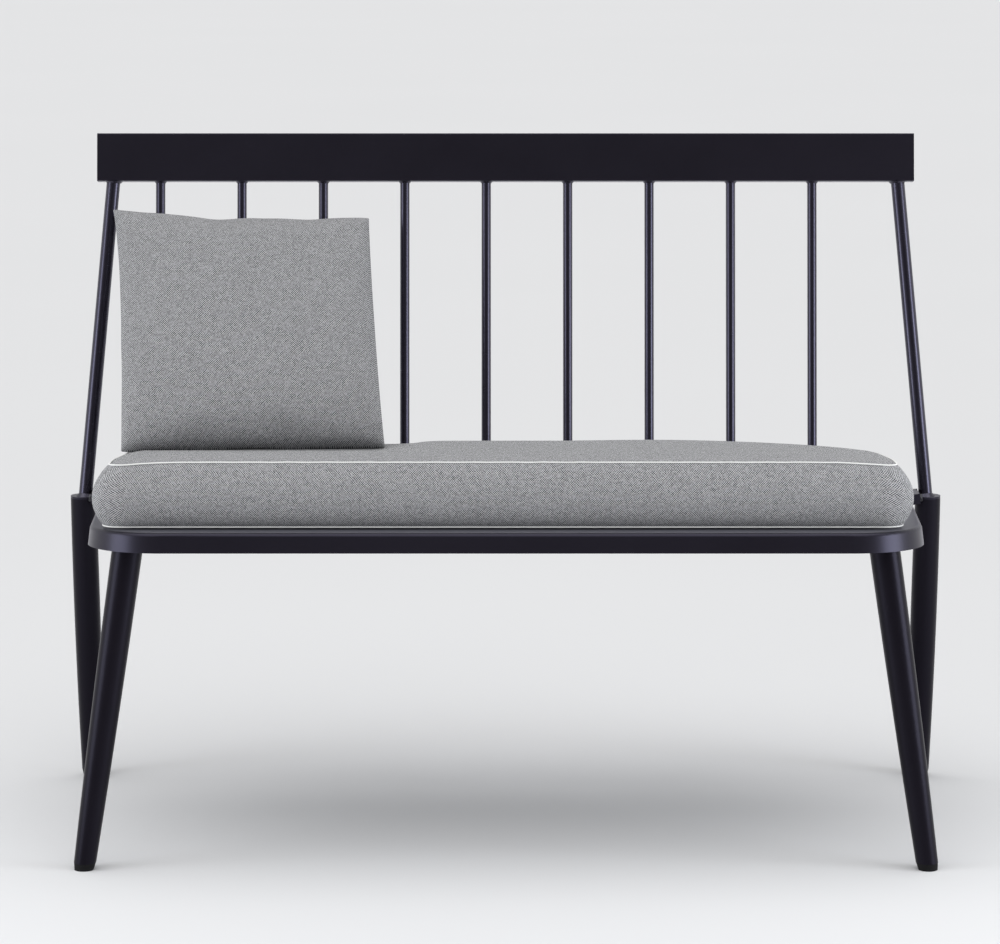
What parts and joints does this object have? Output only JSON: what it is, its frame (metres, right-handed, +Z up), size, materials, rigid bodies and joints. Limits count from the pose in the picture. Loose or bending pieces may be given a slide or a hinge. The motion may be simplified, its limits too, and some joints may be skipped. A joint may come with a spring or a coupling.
{
  "type": "entryway bench",
  "caption": "Metal spindle-back entryway bench: tray seat on splayed tapered legs, with a loose piped box cushion and a throw pillow.",
  "frame": {"origin": "on the floor, at the centre of the footprint of the whole bench", "axes": "+X to the right of someone who faces the bench, +Y from the seat front to the back, +Z up"},
  "size_m": [1.1826, 0.5632, 0.8868],
  "materials": {
    "frame_paint": "satin black powder coat",
    "fastener_steel": "blackened zinc",
    "glide_plastic": "matt black moulded plastic",
    "cushion_fabric": "salt-and-pepper tweed weave",
    "piping_cord": "white cotton piping",
    "pillow_fabric": "salt-and-pepper tweed weave",
    "filling": "polyurethane foam and fibre filling"
  },
  "bodies": {
    "frame": {"corner_box_left": "frame_paint", "corner_box_right": "frame_paint", "crest_rail": "frame_paint", "front_leg_bolts": "fastener_steel", "front_leg_left": "frame_paint", "front_leg_nuts": "fastener_steel", "front_leg_plate_left": "frame_paint", "front_leg_plate_right": "frame_paint", "front_leg_right": "frame_paint", "front_leg_welds": "frame_paint", "glide_front_left": "glide_plastic", "glide_front_right": "glide_plastic", "glide_rear_left": "glide_plastic", "glide_rear_right": "glide_plastic", "pan_welds": "frame_paint", "post_left": "frame_paint", "post_right": "frame_paint", "post_welds": "frame_paint", "rail_end_cap_left": "frame_paint", "rail_end_cap_right": "frame_paint", "rail_welds": "frame_paint", "rear_bracket_bolts": "fastener_steel", "rear_bracket_left": "frame_paint", "rear_bracket_nuts": "fastener_steel", "rear_bracket_right": "frame_paint", "rear_leg_cap_left": "frame_paint", "rear_leg_cap_right": "frame_paint", "rear_leg_left": "frame_paint", "rear_leg_right": "frame_paint", "seat_pan": "frame_paint", "spindle_1": "frame_paint", "spindle_2": "frame_paint", "spindle_3": "frame_paint", "spindle_4": "frame_paint", "spindle_5": "frame_paint", "spindle_6": "frame_paint", "spindle_7": "frame_paint", "spindle_8": "frame_paint", "spindle_9": "frame_paint", "spindle_strip": "frame_paint", "stiffener_centre": "frame_paint", "stiffener_left": "frame_paint", "stiffener_right": "frame_paint"},
    "cushion": {"cushion_cover": "cushion_fabric", "cushion_foam": "filling", "cushion_piping_top": "piping_cord", "cushion_piping_bottom": "piping_cord"},
    "pillow": {"pillow_cover": "pillow_fabric", "pillow_insert": "filling"}
  },
  "joints": [
    {"name": "cushion_lift", "type": "slide", "parent": "frame", "child": "cushion", "axis": [0, 0, 1], "range_m": [0, 0.2]},
    {"name": "pillow_lift", "type": "slide", "parent": "cushion", "child": "pillow", "axis": [0, 0, 1], "range_m": [0, 0.35]}
  ]
}
